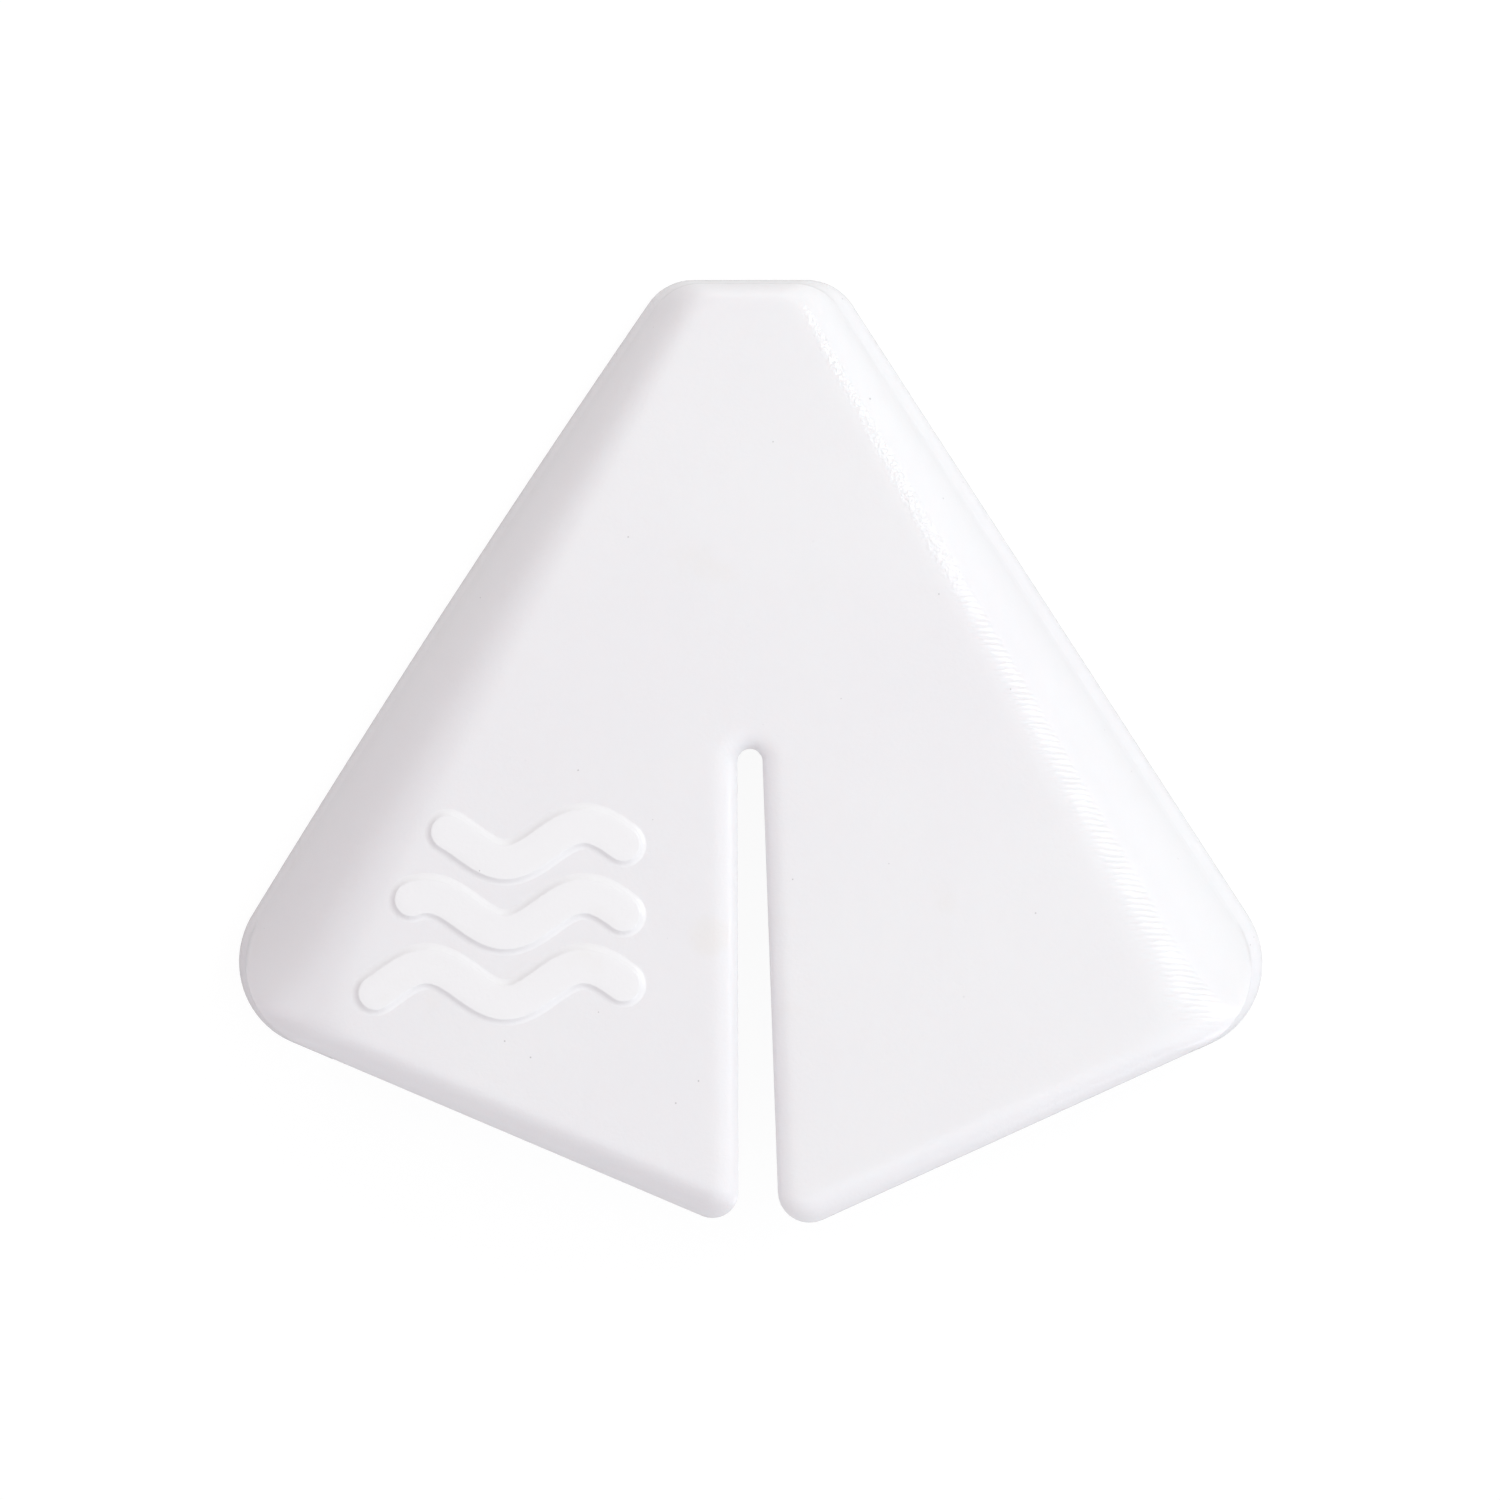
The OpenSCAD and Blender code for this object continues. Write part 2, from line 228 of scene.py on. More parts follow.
def tags():
    """For each point of the outline: the edge before it, the edge after it, how far between them, whether
    a wall stands under it, and how far it takes part in the wall's proud step at the tail.
    Edges: 0 front, 1 side, 2 tail, 3 slot."""
    rows = []

    def stretch(n, a, b, t, low, proud):
        t = np.broadcast_to(t, n)
        proud = np.broadcast_to(proud, n)
        rows.extend([a, b, t[i], low, proud[i]] for i in range(n))

    stretch(1 + N_FRONT, 0, 0, 0.0, 1, 0.0)
    stretch(N_TIP, 0, 1, np.linspace(0, 1, N_TIP), 1, 0.0)
    stretch(N_SIDE, 1, 1, 0.0, 1, 0.0)
    ramp = np.linspace(0, 1, N_WING)
    stretch(N_WING, 1, 2, ramp, 1, smooth(ramp) * PROUD_WALL)
    stretch(N_WALL + 1, 2, 2, 0.0, 1, PROUD_WALL)
    stretch(1 + N_TAIL, 2, 2, 0.0, 0, PROUD_ROOF)
    stretch(N_TAIL_R, 2, 3, np.linspace(0, 1, N_TAIL_R), 0, np.linspace(PROUD_ROOF, 0, N_TAIL_R))
    stretch(N_SLOT + N_SLOT_END, 3, 3, 0.0, 0, 0.0)
    half = np.array(rows, float)
    web = N_WEB - 1
    slot_end = np.tile([3.0, 3, 0, 0, 0], (web, 1))
    tip = np.tile([0.0, 0, 0, 1, 0], (web, 1))
    return np.concatenate([half, slot_end, half[::-1], tip])


WING_HASTE = 1.4           # how fast a wing's corner takes on the tail's height
TAGS = tags()
BEFORE, AFTER = TAGS[:, 0].astype(int), TAGS[:, 1].astype(int)
# round a wing the side's height gives way to the tail's over the first part of the corner
SHARE = smooth(np.clip(TAGS[:, 2] * np.where(BEFORE == 1, WING_HASTE, 1.0), 0, 1))
LOW, PROUD = TAGS[:, 3] > 0.5, TAGS[:, 4]
HALF_POINTS = (len(TAGS) - 2 * (N_WEB - 1)) // 2
ACROSS_WEB = np.linspace(0, 1, N_WEB + 1)[1:-1]
# 0 on the right half, 1 on the left half, and in between across the web
LEFTNESS = np.concatenate([np.zeros(HALF_POINTS), ACROSS_WEB, np.ones(HALF_POINTS), 1 - ACROSS_WEB])
SLOT_H = RIGHT.slot_h + (LEFT.slot_h - RIGHT.slot_h) * LEFTNESS
TAIL_H = RIGHT.tail_h + (LEFT.tail_h - RIGHT.tail_h) * LEFTNESS


# ---- heights ----

def face_z(y):
    """Height of the face at y."""
    bend = np.clip((y - TIP_DROOP_Y) / (TIP_Y - TIP_DROOP_Y), 0, None)
    return FACE_H_TIP + SLOPE * (TIP_Y - y) - TIP_DROOP * bend ** 2


def by_edge(front, side, tail, slot):
    """A value for each point of the outline, given its value on each edge."""
    values = np.stack([np.broadcast_to(v, len(TAGS)) for v in (front, side, tail, slot)])
    i = np.arange(len(TAGS))
    a, b = values[BEFORE, i], values[AFTER, i]
    return a + (b - a) * SHARE


def outward(xy):
    """Unit vectors out of a clockwise loop."""
    d = np.roll(xy, -1, 0) - np.roll(xy, 1, 0)
    d /= np.linalg.norm(d, axis=1)[:, None]
    return np.stack([-d[:, 1], d[:, 0]], 1)


def with_z(xy, z):
    return np.column_stack([xy, np.broadcast_to(z, len(xy))])


def outer_loop(f, lip, extra=0.0):
    """The outline at a fraction f of the face's rounded edges, with a share of the lip left off."""
    def insets(side):
        at = side.lip * lip + extra
        return [at + f * (SHOULDER_TIP - side.lip), at + f * (SHOULDER_WING - side.lip),
                extra + f * side.roll_tail, extra + f * side.roll_tail, extra + f * side.roll_slot,
                TIP_R - f * ROLL_FRONT - extra, WING_R - f * side.roll_tail - extra,
                max(side.tail_r - f * side.roll_slot - extra, MIN_R)]
    xy = whole_loop(LIP_FRONT * lip + extra + f * ROLL_FRONT, insets(LEFT), insets(RIGHT))
    return xy + outward(xy) * (PROUD * (1 - lip))[:, None]


def shoulder_rings(steps):
    """From the crease above the lip up to the face."""
    rings = []
    power = 2 / SQUARENESS
    foot = math.sin(FOOT_ANGLE) ** power
    for g in np.linspace(FOOT_ANGLE, math.pi / 2, steps):
        xy = outer_loop(1 - max(math.cos(g) / math.cos(FOOT_ANGLE), 0.0) ** power, 1.0)
        top = face_z(xy[:, 1])
        drop = by_edge(ROLL_FRONT, top - LIP_H - FOOT_GAP, TAIL_H, SLOT_H)
        rings.append(with_z(xy, top - drop * (1 - math.sin(g) ** power) / (1 - foot)))
    return rings


LIP_TOP_SHARE = 0.97       # share of the lip that has gone at the crease above it


def rim_rings(steps):
    """From the lowest edge up to the shoulder's foot: the rounded edge and the lip, which leans in."""
    profile = []                                      # share of the lip left off, extra inset, height
    for g in np.linspace(0, math.pi / 2, steps):
        profile.append((0.0, EDGE_R * (1 - math.sin(g)), EDGE_R * (1 - math.cos(g))))
    for h in (0.35, 0.7, 1.0):
        profile.append((0.0, 0.0, EDGE_R + (LIP_H - LIP_ROUND - EDGE_R) * h))
    for g in np.linspace(0, LIP_LEAN, 2 * steps)[1:]:
        profile.append(((1 - math.cos(g)) / (1 - math.cos(LIP_LEAN)) * LIP_TOP_SHARE, 0.0,
                        LIP_H - LIP_ROUND * (1 - math.sin(g) / math.sin(LIP_LEAN))))
    rings = []
    for k, (lip, extra, z) in enumerate(profile):
        xy = outer_loop(0.0, lip, extra)
        top = face_z(xy[:, 1])
        under = top - ROOF_T
        foot = top - by_edge(ROLL_FRONT, top - LIP_H - FOOT_GAP, TAIL_H, SLOT_H)
        if k < steps:
            roof_edge = under + z
        else:
            t = (k - steps + 1) / (len(profile) - steps + 1)
            roof_edge = under + EDGE_R + (foot - under - EDGE_R) * t
        rings.append(with_z(xy, np.where(LOW, z, roof_edge)))
    return rings


POCKET_FRONT_ROUND = 1.5   # rounding where the roof's underside meets the bumper
POCKET_WALL_ROUND = 1.2    # and where it meets a wall's end
POCKET_TIP_SHOULDER = SHOULDER_TIP - 1      # and where it meets a side wall
POCKET_WING_SHOULDER = SHOULDER_WING - 2
POCKET_TIP_R = 1.5
POCKET_WING_R = 3.0
ROOF_LEDGE = 1.2           # strip of the roof's underside that the rings cover along the open edges


def pocket_loop(f, share, extra):
    """The pocket's outline at a fraction f of its own rounding. share runs from 0 at the rim's outer edge to
    1 at the last ring, and moves the points of the open edges in over the roof's underside."""
    ledge = EDGE_R + (ROOF_LEDGE - EDGE_R) * share

    def insets(side):
        return [WALL_T - extra + f * POCKET_TIP_SHOULDER, WALL_T - extra + f * POCKET_WING_SHOULDER,
                WALL_T - extra + f * POCKET_WALL_ROUND, ledge, ledge,
                POCKET_TIP_R, POCKET_WING_R, max(side.tail_r - ledge, MIN_R)]
    return whole_loop(BUMPER_T - extra + f * POCKET_FRONT_ROUND, insets(LEFT), insets(RIGHT))


def pocket_rings(steps):
    """From the rim's lowest ring in to the edge of the roof's underside."""
    rings = []
    total = 2 * steps
    for k in range(3):
        g = math.pi / 4 * k
        xy = pocket_loop(0.0, k / total, EDGE_R * (1 - math.sin(g)))
        rings.append(with_z(xy, np.where(LOW, EDGE_R * (1 - math.cos(g)), face_z(xy[:, 1]) - ROOF_T)))
    for k in range(steps):
        g = math.pi / 2 * k / (steps - 1)
        xy = pocket_loop(1 - math.cos(g), (k + 3) / (steps + 2), 0.0)
        top = face_z(xy[:, 1]) - ROOF_T
        drop = by_edge(POCKET_FRONT_ROUND, top - LIP_H, POCKET_WALL_ROUND, 0.0)
        rings.append(with_z(xy, np.where(LOW, top - drop * (1 - math.sin(g)), top)))
    return rings


# ---- meshes ----

def inside(points, loop):
    """Which points lie inside the closed loop."""
    x, y = points[:, 0, None], points[:, 1, None]
    x0, y0 = loop[:, 0], loop[:, 1]
    x1, y1 = np.roll(x0, -1), np.roll(y0, -1)
    with np.errstate(divide="ignore", invalid="ignore"):
        hit = ((y0 > y) != (y1 > y)) & (x < x0 + (y - y0) * (x1 - x0) / (y1 - y0))
    return hit.sum(1) % 2 == 1


def to_loop(points, loop):
    """Each point's distance to the closed loop."""
    a, b = loop, np.roll(loop, -1, 0)
    d = b - a
    rel = points[:, None] - a
    t = np.clip((rel * d).sum(2) / (d * d).sum(1), 0, 1)
    return np.linalg.norm(rel - d * t[..., None], axis=2).min(1)


def fill(loop, spacing, columns=()):
    """Triangles inside a closed loop, with a grid of extra points. Gives the extra points and the
    triangles, whose numbers count the loop's points first."""
    lo, hi = loop.min(0), loop.max(0)
    xs = np.concatenate([np.arange(lo[0], hi[0], spacing), columns])
    if len(columns):
        near = np.abs(xs[:, None] - np.array(columns)).min(1)
        xs = np.sort(np.concatenate([xs[near > spacing / 2], columns]))
    grid = np.array([[x, y + (spacing / 2 if i % 2 and not len(columns) else 0)]
                     for i, x in enumerate(xs) for y in np.arange(lo[1], hi[1], spacing)])
    grid = grid[inside(grid, loop)]
    grid = grid[to_loop(grid, loop) > 0.45 * spacing]
    n = len(loop)
    points = [Vector(p) for p in np.concatenate([loop, grid])]
    edges = [(i, (i + 1) % n) for i in range(n)]
    made = delaunay_2d_cdt(points, edges, [], 1, 1e-7)
    origin = [o[0] for o in made[3]]
    return grid, [[origin[i] for i in f] for f in made[2]]


SHARP = math.radians(40)   # edges that turn more than this are drawn sharp


def new_object(name, verts, faces):
    """A smooth-shaded object made of points in millimetres and faces."""
    mesh = bpy.data.meshes.new(name)
    mesh.from_pydata((np.asarray(verts) * MM).tolist(), [], faces)
    mesh.validate()
    made = bpy.data.objects.new(name, mesh)
    bpy.context.scene.collection.objects.link(made)
    mesh.polygons.foreach_set("use_smooth", [True] * len(mesh.polygons))
    mesh.set_sharp_from_angle(angle=SHARP)
    mesh.update()
    return made


def stacked(rings, bottom, top):
    """Verts and faces of a closed solid through clockwise rings, lowest first. bottom and top are the
    (extra points with heights, triangles) that close it."""
    n = len(rings[0])
    verts = [tuple(p) for r in rings for p in r]
    faces = []
    for k in range(len(rings) - 1):
        a = k * n
        faces += [[a + (i + 1) % n, a + i, a + n + i, a + n + (i + 1) % n] for i in range(n)]
    for cap, ring, up in ((bottom, 0, False), (top, len(rings) - 1, True)):
        extra, tris = cap
        first = len(verts) - n
        start = ring * n
        verts += [tuple(p) for p in extra]
        for f in tris:
            g = [start + i if i < n else first + i for i in f]
            p = np.array([verts[i] for i in g[:3]])
            ccw = np.cross(p[1] - p[0], p[2] - p[0])[2] > 0
            faces.append(g if ccw == up else g[::-1])
    return verts, faces


WEB_COLUMNS = np.linspace(-WEB_HALF_W, WEB_HALF_W, N_WEB + 1)
CAP_SPACING = 1.5          # between the points inside the face and the roof's underside


def make_moulding():
    rings = pocket_rings(14)[::-1] + rim_rings(5) + shoulder_rings(20)
    under, under_tris = fill(rings[0][:, :2], CAP_SPACING, WEB_COLUMNS)
    over, over_tris = fill(rings[-1][:, :2], CAP_SPACING, WEB_COLUMNS)
    verts, faces = stacked(
        rings,
        (with_z(under, face_z(under[:, 1]) - ROOF_T), under_tris),
        (with_z(over, face_z(over[:, 1])), over_tris))
    return new_object("moulding", verts, faces)


# ---- the raised mark: three generic waves ----

MARK_RIGHT = -10.5         # where the waves' right ends are
MARK_Y = -13.6             # the middle wave
MARK_H = 0.33
MARK_SPACING = 0.7         # between the points on top of a wave
WAVE_L = 17.5              # length of the middle wave
WAVE_STEP = 3.0            # how much longer each next one is
WAVE_W = 3.0
WAVE_A = 1.5
WAVE_PITCH = 13.0
WAVE_GAP = 5.8


def wave_outline(length, half_w, steps=56, end_steps=14):
    """A wavy stroke's outline, clockwise, with round ends."""
    d = np.linspace(0, length, steps)
    k = 2 * math.pi / WAVE_PITCH
    mid = np.stack([-d, WAVE_A * np.sin(k * d)], 1)
    along = np.stack([-np.ones_like(d), WAVE_A * k * np.cos(k * d)], 1)
    along /= np.linalg.norm(along, axis=1)[:, None]
    across = np.stack([-along[:, 1], along[:, 0]], 1)
    g = np.linspace(-math.pi / 2, math.pi / 2, end_steps)[1:-1, None]
    far_end = mid[-1] + half_w * (along[-1] * np.cos(g) + across[-1] * np.sin(g))
    near_end = mid[0] - half_w * (along[0] * np.cos(g) + across[0] * np.sin(g))
    loop = np.concatenate([mid - across * half_w, far_end, (mid + across * half_w)[::-1], near_end])
    return loop[::-1]


def make_mark():
    # how far the outline is moved out, and the height above the face: foot, side and rounded edge
    profile = [(0.50, -0.25), (0.50, -0.01), (0.36, 0.015), (0.24, 0.06), (0.13, 0.12), (0.04, 0.19),
               (-0.03, 0.25), (-0.07, 0.29), (-0.11, 0.32), (-0.18, MARK_H)]
    verts, faces = [], []
    for k in (-1, 0, 1):
        at = np.array([MARK_RIGHT, MARK_Y + k * WAVE_GAP])
        rings = []
        for out, h in profile:
            loop = wave_outline(WAVE_L - k * WAVE_STEP, WAVE_W / 2 + out) + at
            rings.append(with_z(loop, face_z(loop[:, 1]) + h))
        caps = []
        for ring in (rings[0], rings[-1]):
            extra, tris = fill(ring[:, :2], MARK_SPACING)
            h = ring[0, 2] - face_z(ring[0, 1])
            caps.append((with_z(extra, face_z(extra[:, 1]) + h), tris))
        v, f = stacked(rings, *caps)
        faces += [[i + len(verts) for i in g] for g in f]
        verts += v
    return new_object("raised_waves", verts, faces)


# ---- adhesive pads and release liners, under the roof ----

PAD_T = 1.0
PAD_R = 1.2                # corners of a pad and of the liner under it
LINER_T = 0.3
LINER_GAP = 0.1
TAB_L = 5.0
TAB_W = 8.0
TAB_R = 2.0
TAB_NOTCH_R = 0.8          # the inner corner between tab and liner
TAB_DROOP = 0.5
PAD_SIDE_INSET = 12.0
PAD_TAIL_INSET = 9.0
PAD_SLOT_INSET = 3.0
PAD_FRONT_W = 3.0
SLAB_SPACING = 1.6         # between points along and inside a pad or liner


def pad_corners():
    """The right pad's corners, clockwise from the right end of its front edge."""
    side = moved_in(np.array([TIP_HALF_W, TIP_Y]), np.array([WING_HALF_W, WING_Y]),
                    PAD_SIDE_INSET, PAD_SIDE_INSET)
    tail = moved_in(np.array([WING_HALF_W, WING_Y]), np.array([SLOT_W / 2, LEFT.tail_y]),
                    PAD_TAIL_INSET, PAD_TAIL_INSET)
    inner = SLOT_W / 2 + RIGHT.lean + PAD_SLOT_INSET
    narrow = inner + PAD_FRONT_W

    def upright(x):
        return np.array([x, 0.0]), np.array([x, 1.0])
    return [meet(side, upright(narrow)), meet(tail, side), meet(tail, upright(inner)),
            meet(side, upright(inner)) - [0, PAD_FRONT_W]]


def rounded_loop(points, radii, n=7):
    """A closed outline with rounded corners, inwards or outwards."""
    m = len(points)
    return np.concatenate([corner(points[i - 1], points[i], points[(i + 1) % m], radii[i], n)
                           for i in range(m)])


def divided(loop, step):
    """The loop with its long edges cut into equal pieces."""
    out = []
    for a, b in zip(loop, np.roll(loop, -1, 0)):
        n = max(1, int(np.linalg.norm(b - a) / step))
        out += [a + (b - a) * k / n for k in range(n)]
    return np.array(out)


def slab(name, loop, profile, sink=None):
    """A flat piece under the roof. profile: how far each ring is in and how far below the roof it is, lowest
    first. sink(points) lowers some of it."""
    out = outward(loop)
    rings = []
    for inset, down in profile:
        xy = loop - out * inset
        rings.append(with_z(xy, face_z(xy[:, 1]) - ROOF_T - down))
    caps = []
    for ring, (_, down) in ((rings[0], profile[0]), (rings[-1], profile[-1])):
        extra, tris = fill(ring[:, :2], SLAB_SPACING)
        caps.append((with_z(extra, face_z(extra[:, 1]) - ROOF_T - down), tris))
    verts, faces = stacked(rings, *caps)
    verts = np.array(verts)
    if sink:
        verts[:, 2] -= sink(verts)
    return new_object(name, verts, faces)


def make_pad(name, mirrored):
    loop = divided(rounded_loop(pad_corners(), [PAD_R] * 4), SLAB_SPACING)
    profile = [(0.12, PAD_T), (0.03, PAD_T - 0.05), (0.0, PAD_T - 0.14), (0.07, PAD_T * 0.5),
               (0.0, 0.14), (0.03, 0.05), (0.12, 0.0)]
    if mirrored:
        loop = (loop * [-1, 1])[::-1]
    return slab(name, loop, profile)


def make_liner(name, mirrored):
    front_right, outer, inner, front_left = pad_corners()
    tail_dir = unit(outer - inner)
    tab_right = inner + tail_dir * TAB_W / tail_dir[0]
    tab_y = inner[1] - TAB_L
    points = [front_right, outer, tab_right, np.array([tab_right[0], tab_y]),
              np.array([inner[0], tab_y]), front_left]
    radii = [PAD_R, PAD_R, TAB_NOTCH_R, TAB_R, TAB_R, PAD_R]
    loop = divided(rounded_loop(points, radii), SLAB_SPACING)
    if mirrored:
        loop = (loop * [-1, 1])[::-1]
    top = PAD_T + LINER_GAP
    profile = [(0.05, top + LINER_T), (0.0, top + LINER_T - 0.05), (0.0, top + 0.05), (0.05, top)]

    def curl(v):
        """The tab droops, because nothing holds it."""
        t = np.clip((inner[1] + 1.0 - v[:, 1]) / (TAB_L + 1.0), 0, 1)
        return TAB_DROOP * t * t
    return slab(name, loop, profile, curl)


# ---- materials ----

def material(name):
    mat = bpy.data.materials.new(name)
    mat.use_nodes = True
    return mat, mat.node_tree, mat.node_tree.nodes["Principled BSDF"]


class Nodes:
    """Short ways to add nodes to a material."""

    def __init__(self, tree):
        self.tree = tree
        self.coordinates = self.add("ShaderNodeTexCoord")
        self.place = self.coordinates.outputs["Object"]

    def add(self, kind, **settings):
        node = self.tree.nodes.new(kind)
        for key, value in settings.items():
            setattr(node, key, value)
        return node

    def link(self, source, target):
        if isinstance(source, (int, float)):
            target.default_value = source
        else:
            self.tree.links.new(source, target)

    def noise(self, scale_per_mm, detail, roughness=0.5):
        node = self.add("ShaderNodeTexNoise")
        self.link(self.place, node.inputs["Vector"])
        node.inputs["Scale"].default_value = scale_per_mm / MM
        node.inputs["Detail"].default_value = detail
        node.inputs["Roughness"].default_value = roughness
        return node.outputs["Fac"]

    def math(self, operation, a, b=0.0):
        node = self.add("ShaderNodeMath", operation=operation)
        for value, socket in zip((a, b), node.inputs):
            self.link(value, socket)
        return node.outputs[0]

    def ramp(self, value, low, high, out_low=0.0, out_high=1.0, kind="SMOOTHSTEP"):
        node = self.add("ShaderNodeMapRange", interpolation_type=kind)
        self.link(value, node.inputs["Value"])
        for socket, number in zip(("From Min", "From Max", "To Min", "To Max"),
                                  (low, high, out_low, out_high)):
            node.inputs[socket].default_value = number
        return node.outputs["Result"]

    def mix(self, factor, a, b):
        node = self.add("ShaderNodeMix", data_type="RGBA")
        self.link(factor, node.inputs[0])
        for value, socket in ((a, node.inputs[6]), (b, node.inputs[7])):
            if isinstance(value, tuple):
                socket.default_value = (*value, 1)
            else:
                self.link(value, socket)
        return node.outputs[2]

    def bump(self, height, distance_mm, normal=None):
        node = self.add("ShaderNodeBump")
        node.inputs["Strength"].default_value = 1.0
        node.inputs["Distance"].default_value = distance_mm * MM
        self.link(height, node.inputs["Height"])
        if normal:
            self.link(normal, node.inputs["Normal"])
        return node.outputs["Normal"]


SILICONE = (0.806, 0.795, 0.815)
SILICONE_LIGHT = (0.817, 0.81, 0.825)
SILICONE_WARM = (0.785, 0.76, 0.745)
# the waves' two tones are lighter than the face's: a painted glow standing in for light that passes through
# the translucent raised strokes
MARK_GLOW_TONE = (0.832, 0.825, 0.84)
MARK_GLOW_TONE_LIGHT = (0.842, 0.835, 0.85)
SPECK = (0.12, 0.10, 0.11)
SPECK_COVER = 0.36                       # how much of the white a dust speck covers
SPECK_CELL = 2.0                         # about how far apart places for a speck are
RIGHT_WARDS = (0.8388, 0.5445, 0.0)      # straight out of the right side
SCALLOP_PITCH = 0.5
SCALLOP_DEPTH = 0.055
SCALLOP_FRONT_Y = 17.0                   # in front of this they give way to pebbles
SCALLOP_START_X = 3.5
SCALLOP_END_X = 39.5
STAIN = (-3.3, -15.4)
STAIN_R = 1.9
WAVE_DEPTH = 0.12                        # slow unevenness of the whole skin
GRAIN_DEPTH = 0.018


def silicone(name, scatter, light, dark):
    """White silicone. scatter is how much light passes through it, light and dark are its two tones."""
    mat, tree, shader = material(name)
    n = Nodes(tree)
    split = n.add("ShaderNodeSeparateXYZ")
    n.link(n.place, split.inputs[0])
    x, y = split.outputs["X"], split.outputs["Y"]

    # colour: cloudy white, with a few warm smudges, one stain by the slot and dark dust specks
    cloud = n.ramp(n.noise(0.035, 4), 0.35, 0.7)
    smudge = n.math("MULTIPLY", n.ramp(n.noise(0.11, 5, 0.6), 0.60, 0.78), 0.35)
    base = n.mix(cloud, dark, light)
    base = n.mix(smudge, base, SILICONE_WARM)
    off_x = n.math("DIVIDE", n.math("SUBTRACT", x, STAIN[0] * MM), STAIN_R * MM)
    off_y = n.math("DIVIDE", n.math("SUBTRACT", y, STAIN[1] * MM), STAIN_R * MM)
    off = n.math("ADD", n.math("MULTIPLY", off_x, off_x), n.math("MULTIPLY", off_y, off_y))
    off = n.math("ADD", off, n.math("MULTIPLY", n.noise(0.9, 3), 0.8))
    base = n.mix(n.ramp(off, 1.6, 0.5, 0.0, 0.45), base, SILICONE_WARM)
    cell = n.add("ShaderNodeTexVoronoi")
    n.link(n.place, cell.inputs["Vector"])
    cell.inputs["Scale"].default_value = 1 / (SPECK_CELL * MM)
    pick = n.add("ShaderNodeSeparateColor")
    n.link(cell.outputs["Color"], pick.inputs[0])
    speck_r = n.ramp(pick.outputs["Red"], 0.35, 1.0, 0.0, 0.045, "LINEAR")
    speck = n.math("LESS_THAN", cell.outputs["Distance"], speck_r)
    base = n.mix(n.math("MULTIPLY", speck, SPECK_COVER), base, SPECK)
    n.link(base, shader.inputs["Base Color"])

    # gloss: satin, a little patchy where it has been handled
    patchy = n.ramp(n.noise(0.18, 5, 0.65), 0.3, 0.75, 0.29, 0.38)
    n.link(patchy, shader.inputs["Roughness"])
    shader.inputs["Subsurface Weight"].default_value = scatter
    shader.inputs["Subsurface Radius"].default_value = (1.0, 0.9, 0.88)
    shader.inputs["Subsurface Scale"].default_value = 1.2 * MM
    shader.inputs["IOR"].default_value = 1.42
    shader.inputs["Coat Weight"].default_value = 0.6
    shader.inputs["Coat Roughness"].default_value = 0.12
    shader.inputs["Coat IOR"].default_value = 1.4

    # relief: slow waves, a fine grain, and along the right shoulder the scallops that the milling of the
    # mould left, which turn to pebbles towards the tip
    towards = n.add("ShaderNodeVectorMath", operation="DOT_PRODUCT")
    n.link(n.coordinates.outputs["Normal"], towards.inputs[0])
    towards.inputs[1].default_value = RIGHT_WARDS
    tilt = towards.outputs["Value"]
    steep = n.math("MULTIPLY", n.ramp(tilt, 0.1, 0.3), n.ramp(tilt, 0.58, 0.5))
    steep = n.math("MULTIPLY", steep, n.ramp(x, SCALLOP_START_X * MM, (SCALLOP_START_X + 2.5) * MM))
    steep = n.math("MULTIPLY", steep, n.ramp(x, SCALLOP_END_X * MM, (SCALLOP_END_X - 2) * MM))
    behind = n.ramp(y, SCALLOP_FRONT_Y * MM, (SCALLOP_FRONT_Y - 6) * MM)
    wobble = n.math("MULTIPLY", n.noise(0.5, 3), 0.45 * MM)
    phase = n.math("MULTIPLY", n.math("ADD", y, wobble), math.pi / (SCALLOP_PITCH * MM))
    arcs = n.math("ABSOLUTE", n.math("SINE", phase))
    arcs = n.math("MULTIPLY", arcs, n.ramp(n.noise(0.5, 3), 0.3, 0.65, 0.6, 1.0))
    pebbles = n.math("MULTIPLY", n.ramp(n.noise(3.0, 1), 0.3, 0.7), n.math("SUBTRACT", 1.0, behind))
    groove = n.math("ADD", n.math("MULTIPLY", arcs, behind), pebbles)
    groove = n.math("MULTIPLY", groove, steep)
    normal = n.bump(n.noise(0.05, 3), WAVE_DEPTH)
    normal = n.bump(n.noise(3.0, 3, 0.6), GRAIN_DEPTH, normal)
    normal = n.bump(groove, SCALLOP_DEPTH, normal)
    n.link(normal, shader.inputs["Normal"])
    n.link(normal, shader.inputs["Coat Normal"])
    return mat


def foam():
    mat, tree, shader = material("adhesive_foam")
    n = Nodes(tree)
    cells = n.noise(4.0, 4, 0.7)
    n.link(n.mix(n.ramp(cells, 0.3, 0.7), (0.62, 0.62, 0.6), (0.78, 0.78, 0.76)),
           shader.inputs["Base Color"])
    n.link(n.ramp(cells, 0.3, 0.7, 0.7, 0.95), shader.inputs["Roughness"])
    n.link(n.bump(cells, 0.12), shader.inputs["Normal"])
    return mat


def film():
    mat, tree, shader = material("liner_film")
    n = Nodes(tree)
    fibres = n.noise(0.6, 6, 0.7)
    n.link(n.mix(n.ramp(fibres, 0.35, 0.7), (0.50, 0.62, 0.72), (0.58, 0.69, 0.78)),
           shader.inputs["Base Color"])
    n.link(n.ramp(n.noise(0.3, 4), 0.3, 0.7, 0.2, 0.4), shader.inputs["Roughness"])
    n.link(n.bump(n.noise(0.25, 3), 0.08), shader.inputs["Normal"])
    shader.inputs["Coat Weight"].default_value = 0.3
    return mat


# ---- build ----

def give(piece, mat):
    piece.data.materials.clear()
    piece.data.materials.append(mat)


pad_material = foam()
liner_material = film()

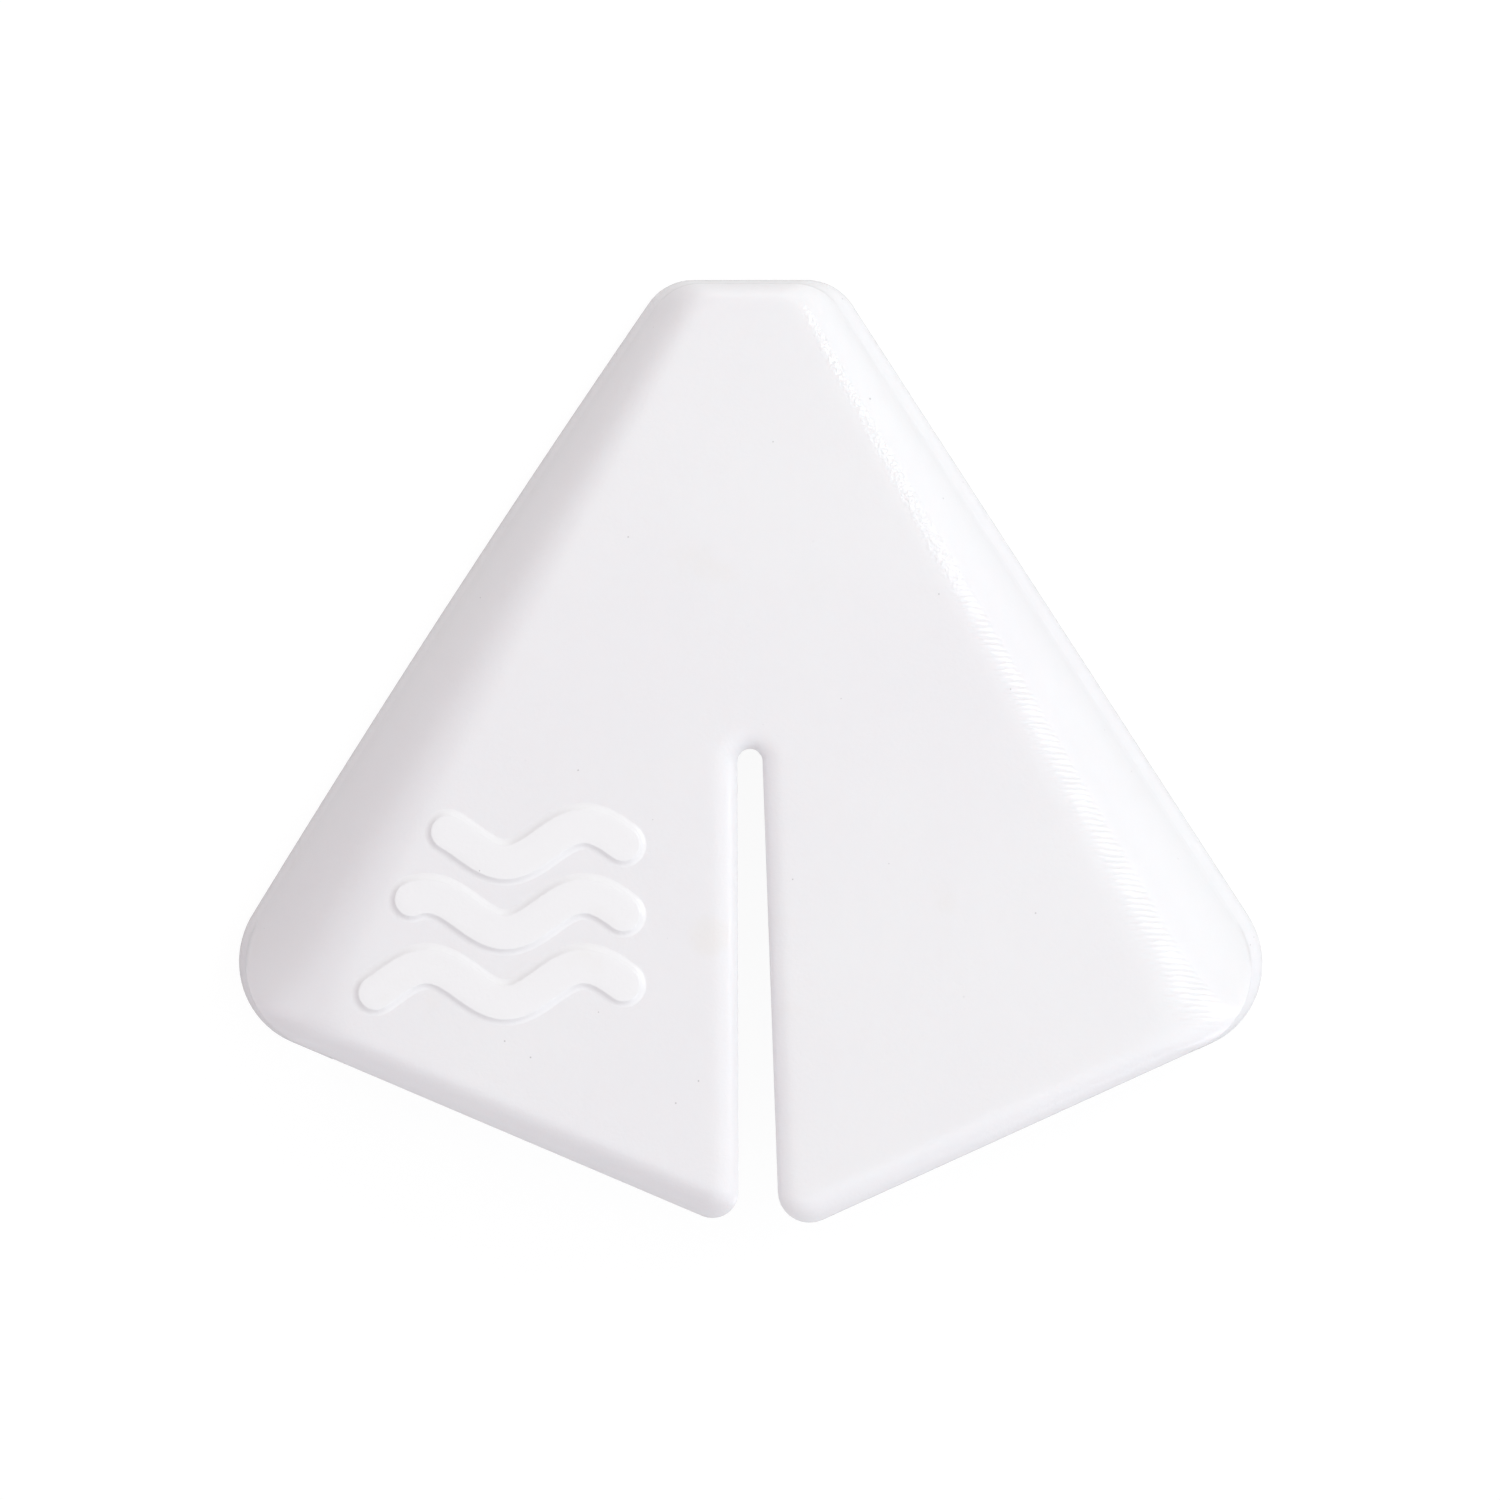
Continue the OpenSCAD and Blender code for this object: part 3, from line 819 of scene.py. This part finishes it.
moulding = make_moulding()
give(moulding, silicone("silicone", 0.6, SILICONE_LIGHT, SILICONE))
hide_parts("left_half", "right_half", "flex_web")
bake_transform(moulding)

mark = make_mark()
# the waves take the lighter tones, a painted glow for light through the relief, and no scatter of their own
give(mark, silicone("silicone_mark_painted_glow", 0.0, MARK_GLOW_TONE_LIGHT, MARK_GLOW_TONE))
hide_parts("raised_mark")
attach(mark, "left_side")
# the waves are the same translucent silicone as the face, so they throw no shadow on it
mark.visible_shadow = False
mark.visible_diffuse = False

for side_name, mirrored in (("left", True), ("right", False)):
    pad = make_pad(f"{side_name}_foam_pad", mirrored)
    give(pad, pad_material)
    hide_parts(f"{side_name}_adhesive_pad")
    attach(pad, f"{side_name}_side")
    liner = make_liner(f"{side_name}_liner_film", mirrored)
    give(liner, liner_material)
    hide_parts(f"{side_name}_release_liner")
    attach(liner, f"{side_name}_liner")


# ---- floor, light and camera ----

FLOOR_HALF = 1.2          # metres
FLOOR_DROP = 0.02         # how far the floor is below the rim, so that the two don't flicker
FLOOR_WHITE = 0.6
FLOOR_GLOW = 0.16
SEEN_WHITE = 0.10         # as the camera sees the floor: brighter, so shadows on it stay faint
SEEN_GLOW = 0.92


def make_floor():
    mesh = bpy.data.meshes.new("floor")
    h = FLOOR_HALF
    z = -FLOOR_DROP * MM
    mesh.from_pydata([(-h, -h, z), (h, -h, z), (h, h, z), (-h, h, z)], [], [(0, 1, 2, 3)])
    floor = bpy.data.objects.new("floor", mesh)
    bpy.context.scene.collection.objects.link(floor)
    mat, tree, shader = material("floor")
    seen = tree.nodes.new("ShaderNodeBsdfPrincipled")
    for node, white, glow in ((shader, FLOOR_WHITE, FLOOR_GLOW), (seen, SEEN_WHITE, SEEN_GLOW)):
        node.inputs["Base Color"].default_value = (white, white, white, 1)
        node.inputs["Roughness"].default_value = 0.9
        node.inputs["Specular IOR Level"].default_value = 0.0
        node.inputs["Emission Color"].default_value = (1, 1, 1, 1)
        node.inputs["Emission Strength"].default_value = glow
    ray = tree.nodes.new("ShaderNodeLightPath")
    both = tree.nodes.new("ShaderNodeMixShader")
    tree.links.new(ray.outputs["Is Camera Ray"], both.inputs[0])
    tree.links.new(shader.outputs[0], both.inputs[1])
    tree.links.new(seen.outputs[0], both.inputs[2])
    tree.links.new(both.outputs[0], tree.nodes["Material Output"].inputs["Surface"])
    mesh.materials.append(mat)


def area_light(name, azimuth, zenith, distance, size, power, color):
    """A rectangular light that faces the object, distance and size in metres. Azimuth is from +X towards
    +Y, zenith from straight up."""
    data = bpy.data.lights.new(name, "AREA")
    data.shape = "RECTANGLE"
    data.size, data.size_y = size
    data.energy = power
    data.color = color
    light = bpy.data.objects.new(name, data)
    a, z = math.radians(azimuth), math.radians(zenith)
    way = Vector((math.sin(z) * math.cos(a), math.sin(z) * math.sin(a), math.cos(z)))
    light.location = way * distance
    light.rotation_mode = "QUATERNION"
    light.rotation_quaternion = way.to_track_quat("Z", "Y")
    bpy.context.scene.collection.objects.link(light)


def make_lights():
    world = bpy.data.worlds.new("studio")
    world.use_nodes = True
    background = world.node_tree.nodes["Background"]
    background.inputs["Color"].default_value = (1.0, 0.91, 0.90, 1)
    background.inputs["Strength"].default_value = 0.52
    bpy.context.scene.world = world
    # azimuth, zenith, distance, size, power and colour
    area_light("key", 33, 54, 0.55, (0.34, 0.18), 1.23, (0.90, 0.975, 1.0))
    area_light("overhead", 0, 12, 0.9, (1.0, 1.0), 1.64, (1.0, 0.995, 0.84))
    area_light("overhead_tail", -60, 30, 0.9, (1.0, 1.0), 2.22, (0.72, 0.87, 1.0))
    area_light("front", 90, 75, 0.3, (0.2, 0.2), 0.11, (0.93, 1.0, 0.97))
    area_light("tail", -45, 79, 0.5, (0.3, 0.14), 0.32, (0.86, 0.90, 1.0))
    area_light("left", 180, 60, 0.6, (0.5, 0.5), 0.44, (0.72, 0.70, 0.88))


OBJECT_W = 85.0           # over the wings
VIEW_SHARE = 0.682        # share of the view's width that the object takes up
CAMERA_H = 3.0            # metres, straight above
SENSOR = 36.0


def make_camera():
    data = bpy.data.cameras.new("camera")
    data.sensor_width = SENSOR
    data.lens = SENSOR * CAMERA_H / (OBJECT_W / VIEW_SHARE * MM)
    camera = bpy.data.objects.new("camera", data)
    camera.location = (0, 0, CAMERA_H)
    data.clip_start, data.clip_end = 0.01, 10
    bpy.context.scene.collection.objects.link(camera)
    bpy.context.scene.camera = camera


make_floor()
make_lights()
make_camera()
bpy.context.scene.view_settings.view_transform = "Standard"
